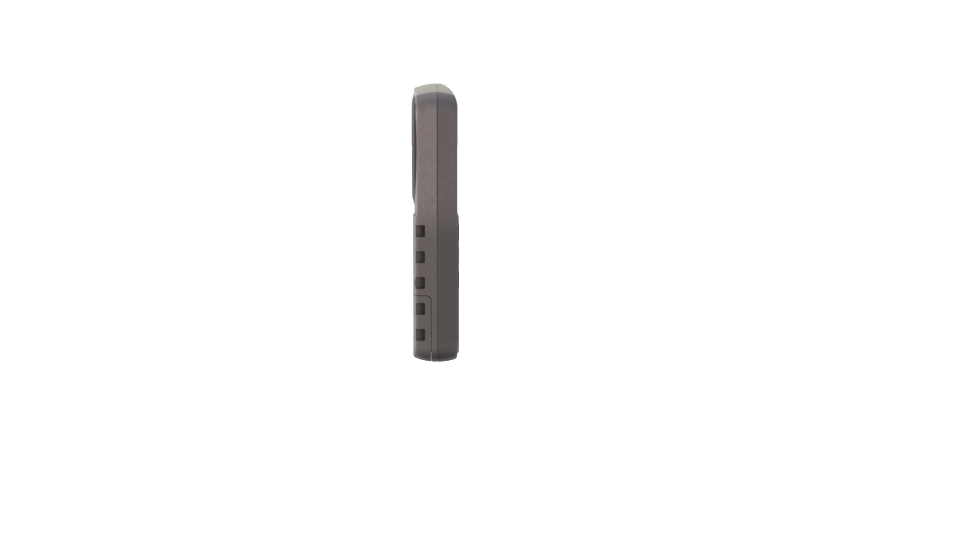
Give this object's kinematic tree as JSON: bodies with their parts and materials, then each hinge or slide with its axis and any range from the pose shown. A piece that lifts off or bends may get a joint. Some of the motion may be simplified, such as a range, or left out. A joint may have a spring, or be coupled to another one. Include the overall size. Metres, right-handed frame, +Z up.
{
  "type": "electronic game caller",
  "caption": "Slim handheld electronic game caller with push keys, rear loudspeaker cover, grip notches and a sliding battery door.",
  "frame": {"origin": "middle of the bounding box at its lowest point: under the centre of the rounded bottom end", "axes": "+Z up along the case to the top end, -Y out of the keypad side, +Y out of the loudspeaker side, +X across the width"},
  "size_m": [0.058, 0.0206, 0.1215],
  "materials": {
    "case": "fine-textured charcoal plastic",
    "panel": "finer black texture",
    "cover": "fine-textured charcoal plastic",
    "door": "fine-textured charcoal plastic",
    "call_key": "satin olive-grey key",
    "control_key": "satin grey key",
    "power_key": "satin red key",
    "silicone": "soft silicone",
    "label": "satin inlay",
    "lens": "clear red lens",
    "board": "solder mask",
    "chip": "moulded package",
    "lamp": "clear package",
    "can": "drawn can",
    "ceramic": "chip resistor",
    "screw": "plated steel",
    "cloth": "woven cloth",
    "gasket": "foam ring",
    "frame": "pressed and plated",
    "cone": "pressed paper",
    "surround": "rolled edge",
    "cap": "pressed dome",
    "coil": "enamelled wire",
    "magnet": "sintered ferrite",
    "yoke": "plated steel",
    "cell": "wrapped steel can",
    "contact": "nickel plated",
    "wire": "insulated wire"
  },
  "bodies": {
    "case": {"front_shell": "case", "rear_shell": "case", "keypad_panel": "panel", "speaker_cover": "cover", "keypad_mat": "silicone", "keypad_domes": "silicone", "front_label": "label", "sound_list": "label", "lamp_lens": "lens", "main_board": "board", "processor_chip": "chip", "memory_chip": "chip", "amplifier_chip": "chip", "crystal": "can", "capacitor": "can", "status_lamp": "lamp", "resistors": "ceramic", "board_screws": "screw", "case_screws": "screw", "speaker_screws": "screw", "grille_cloth": "cloth", "speaker_gasket": "gasket", "door_seal": "gasket", "speaker_frame": "frame", "speaker_surround": "surround", "speaker_magnet": "magnet", "speaker_plate": "yoke", "speaker_yoke": "yoke", "battery_cell_lower": "cell", "battery_cell_upper": "cell", "battery_contacts": "contact", "battery_spring_lower": "contact", "battery_spring_upper": "contact", "battery_wires": "wire", "speaker_wires": "wire"},
    "call_key_1": {"call_key_1": "call_key"},
    "call_key_2": {"call_key_2": "call_key"},
    "call_key_3": {"call_key_3": "call_key"},
    "call_key_4": {"call_key_4": "call_key"},
    "call_key_5": {"call_key_5": "call_key"},
    "volume_down_key": {"volume_down_key": "control_key"},
    "power_key": {"power_key": "power_key"},
    "volume_up_key": {"volume_up_key": "control_key"},
    "battery_door": {"battery_door": "door"},
    "cone_assembly": {"speaker_cone": "cone", "dust_cap": "cap", "voice_coil": "coil"}
  },
  "joints": [
    {"name": "call_key_1_press", "type": "slide", "parent": "case", "child": "call_key_1", "axis": [0, 1, 0], "range_m": [0, 0.0007], "stiffness_N_per_m": 400, "deforming": ["keypad_domes"]},
    {"name": "call_key_2_press", "type": "slide", "parent": "case", "child": "call_key_2", "axis": [0, 1, 0], "range_m": [0, 0.0007], "stiffness_N_per_m": 400, "deforming": ["keypad_domes"]},
    {"name": "call_key_3_press", "type": "slide", "parent": "case", "child": "call_key_3", "axis": [0, 1, 0], "range_m": [0, 0.0007], "stiffness_N_per_m": 400, "deforming": ["keypad_domes"]},
    {"name": "call_key_4_press", "type": "slide", "parent": "case", "child": "call_key_4", "axis": [0, 1, 0], "range_m": [0, 0.0007], "stiffness_N_per_m": 400, "deforming": ["keypad_domes"]},
    {"name": "call_key_5_press", "type": "slide", "parent": "case", "child": "call_key_5", "axis": [0, 1, 0], "range_m": [0, 0.0007], "stiffness_N_per_m": 400, "deforming": ["keypad_domes"]},
    {"name": "volume_down_key_press", "type": "slide", "parent": "case", "child": "volume_down_key", "axis": [0, 1, 0], "range_m": [0, 0.0007], "stiffness_N_per_m": 400, "deforming": ["keypad_domes"]},
    {"name": "power_key_press", "type": "slide", "parent": "case", "child": "power_key", "axis": [0, 1, 0], "range_m": [0, 0.0007], "stiffness_N_per_m": 400, "deforming": ["keypad_domes"]},
    {"name": "volume_up_key_press", "type": "slide", "parent": "case", "child": "volume_up_key", "axis": [0, 1, 0], "range_m": [0, 0.0007], "stiffness_N_per_m": 400, "deforming": ["keypad_domes"]},
    {"name": "battery_door_slide", "type": "slide", "parent": "case", "child": "battery_door", "axis": [0, 0, -1], "range_m": [0, 0.034]},
    {"name": "cone_travel", "type": "slide", "parent": "case", "child": "cone_assembly", "axis": [0, 1, 0], "range_m": [-0.0005, 0.0005], "stiffness_N_per_m": 400, "deforming": ["speaker_surround"]}
  ]
}
